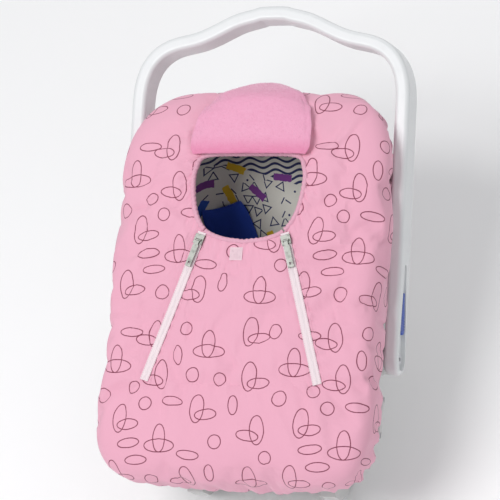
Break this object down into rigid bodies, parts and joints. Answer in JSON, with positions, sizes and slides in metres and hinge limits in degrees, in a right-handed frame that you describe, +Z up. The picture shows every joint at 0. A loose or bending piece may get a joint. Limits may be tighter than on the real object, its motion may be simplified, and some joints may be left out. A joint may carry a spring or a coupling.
{
  "type": "infant car seat",
  "caption": "Rear-facing infant car seat on a rocker base, with a fold-back carry handle, harness, and a zip-front quilted cover with a face flap.",
  "frame": {"origin": "on the floor under the middle of the base frame", "axes": "+Z up, +Y toward the head end, +X toward the baby's left, foot end toward -Y"},
  "size_m": [0.439, 0.6951, 0.4475],
  "materials": {
    "white_plastic": "satin white moulded",
    "shell_plastic": "fine grained moulded",
    "rubber": "matt",
    "steel": "zinc plated",
    "foam": "expanded foam",
    "printed_pad": "printed woven cotton",
    "webbing": "woven webbing",
    "blue_fabric": "padded woven",
    "dark_plastic": "fine grained moulded",
    "red_plastic": "satin",
    "blue_plastic": "satin",
    "pink_print": "printed cotton",
    "pink_binding": "gathered cotton",
    "fleece": "brushed fleece",
    "zip_tape": "woven tape",
    "zip_metal": "worn nickel",
    "tag_red": "woven"
  },
  "bodies": {
    "seat": {"shell": "shell_plastic", "base_frame": "shell_plastic", "rubber_feet": "rubber", "base_screws": "steel", "foam_head": "foam", "foam_seat": "foam", "seat_pad": "printed_pad", "shoulder_strap_left": "webbing", "shoulder_strap_right": "webbing", "shoulder_pad_left": "blue_fabric", "shoulder_pad_right": "blue_fabric", "chest_clip_left": "dark_plastic", "chest_clip_right": "dark_plastic", "buckle_tongue_left": "steel", "buckle_tongue_right": "steel", "crotch_strap": "webbing", "crotch_anchor": "steel", "buckle_housing": "dark_plastic", "harness_yoke": "steel", "adjuster_strap": "webbing", "harness_adjuster": "dark_plastic", "belt_guide_left": "shell_plastic", "belt_guide_right": "shell_plastic", "guide_screws": "steel", "cover_head": "pink_print", "cover_foot": "pink_print", "cover_side_left": "pink_print", "cover_side_right": "pink_print", "opening_binding": "pink_binding", "elastic_hem_head": "pink_print", "elastic_hem_foot": "pink_print", "side_tag": "tag_red", "detent_disc_left": "white_plastic", "detent_disc_right": "white_plastic", "pivot_bolt_left": "steel", "pivot_bolt_right": "steel"},
    "handle": {"carry_handle": "white_plastic", "lock_spring_left": "steel", "lock_spring_right": "steel"},
    "release_left": {"release_button_left": "blue_plastic", "lock_bar_left": "steel"},
    "release_right": {"release_button_right": "blue_plastic", "lock_bar_right": "steel"},
    "panel": {"front_panel": "pink_print", "panel_binding": "pink_binding", "zip_tape_left": "zip_tape", "zip_tape_right": "zip_tape", "hook_loop_patch": "zip_tape"},
    "slider_left": {"zip_slider_left": "zip_metal"},
    "slider_right": {"zip_slider_right": "zip_metal"},
    "pull_left": {"zip_pull_left": "zip_metal"},
    "pull_right": {"zip_pull_right": "zip_metal"},
    "flap": {"flap_upper": "fleece"},
    "flap_end": {"flap_tip": "fleece"},
    "button": {"buckle_button": "red_plastic"}
  },
  "joints": [
    {"name": "handle_fold", "type": "hinge", "parent": "seat", "child": "handle", "pos_m": [0, -0.04596, 0.18909], "axis": [1, 0, 0], "range_deg": [-40, 138]},
    {"name": "release_left_slide", "type": "slide", "parent": "handle", "child": "release_left", "axis": [0, 0.891, 0.454], "range_m": [0, 0.005], "stiffness_N_per_m": 700, "deforming": ["lock_spring_left"]},
    {"name": "release_right_slide", "type": "slide", "parent": "handle", "child": "release_right", "axis": [0, 0.891, 0.454], "range_m": [0, 0.005], "stiffness_N_per_m": 700, "deforming": ["lock_spring_right"]},
    {"name": "panel_open", "type": "hinge", "parent": "seat", "child": "panel", "pos_m": [0, -0.15306, 0.28572], "axis": [-1, 0, 0], "range_deg": [-150, 0]},
    {"name": "zip_left_slide", "type": "slide", "parent": "panel", "child": "slider_left", "axis": [-0.2959, -0.8947, -0.3345], "range_m": [0, 0.205]},
    {"name": "zip_right_slide", "type": "slide", "parent": "panel", "child": "slider_right", "axis": [0.2959, -0.8947, -0.3345], "range_m": [0, 0.205]},
    {"name": "pull_left_lift", "type": "hinge", "parent": "slider_left", "child": "pull_left", "pos_m": [-0.06781, 0.04741, 0.35961], "axis": [-0.9551, 0.2816, 0.0915], "range_deg": [0, 110]},
    {"name": "pull_right_lift", "type": "hinge", "parent": "slider_right", "child": "pull_right", "pos_m": [0.06781, 0.04741, 0.35961], "axis": [-0.9551, -0.2816, -0.0915], "range_deg": [0, 110]},
    {"name": "flap_fold", "type": "hinge", "parent": "seat", "child": "flap", "pos_m": [0, 0.16504, 0.40695], "axis": [1, 0, 0], "range_deg": [0, 183]},
    {"name": "flap_end_fold", "type": "hinge", "parent": "flap", "child": "flap_end", "pos_m": [0, 0.25107, 0.4286], "axis": [1, 0, 0], "range_deg": [0, 50.1]},
    {"name": "buckle_press", "type": "slide", "parent": "seat", "child": "button", "axis": [0, 0.309, -0.9511], "range_m": [0, 0.003], "stiffness_N_per_m": 800}
  ],
  "couplings": [
    {"joint": "flap_end_fold", "follows": "flap_fold", "ratio": 0.2732}
  ]
}
